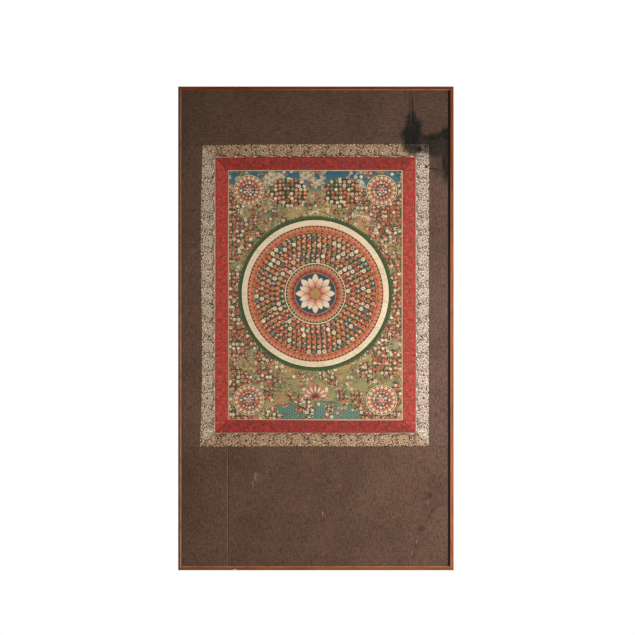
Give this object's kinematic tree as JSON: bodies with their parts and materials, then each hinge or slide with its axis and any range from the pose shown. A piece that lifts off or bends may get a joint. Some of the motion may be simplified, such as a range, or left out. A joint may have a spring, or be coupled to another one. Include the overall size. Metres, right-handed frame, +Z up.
{
  "type": "thangka scroll painting in wooden frame",
  "caption": "Painted cloth in a mitred silk and brocade mount on dark damask, stretched on a panel in a slim wooden frame, to hang on a wall.",
  "frame": {"origin": "centre of the back, in the plane of the wall that the framed piece hangs against", "axes": "+X to the viewer's right, +Y into the wall, +Z up; the picture faces -Y"},
  "size_m": [0.854, 0.022, 1.5],
  "materials": {
    "rail_wood": "red-brown stained wood, satin, pale where the inner bead is worn",
    "panel_black": "black-painted panel, matt",
    "ground_damask": "dark brown silk damask with a small tone-on-tone scroll, matt and aged",
    "brocade_level": "cream silk brocade with fine dark brown scrolls, browner along this thread",
    "brocade_upright": "cream silk brocade with fine dark brown scrolls, greyer along this thread",
    "red_level": "crimson silk, soft sheen",
    "red_upright": "orange-red silk, soft sheen",
    "painted_cloth": "cotton cloth with matt mineral colours, a bare cream edge"
  },
  "bodies": {
    "root": {"rail_top": "rail_wood", "rail_right": "rail_wood", "rail_bottom": "rail_wood", "rail_left": "rail_wood", "mount_panel": "panel_black", "ground_top_wide": "ground_damask", "ground_top_narrow": "ground_damask", "ground_left": "ground_damask", "ground_right": "ground_damask", "ground_bottom_narrow": "ground_damask", "ground_bottom_wide": "ground_damask", "brocade_top": "brocade_level", "brocade_right": "brocade_upright", "brocade_bottom": "brocade_level", "brocade_left": "brocade_upright", "red_top": "red_level", "red_right": "red_upright", "red_bottom": "red_level", "red_left": "red_upright", "painting": "painted_cloth"}
  },
  "joints": []
}
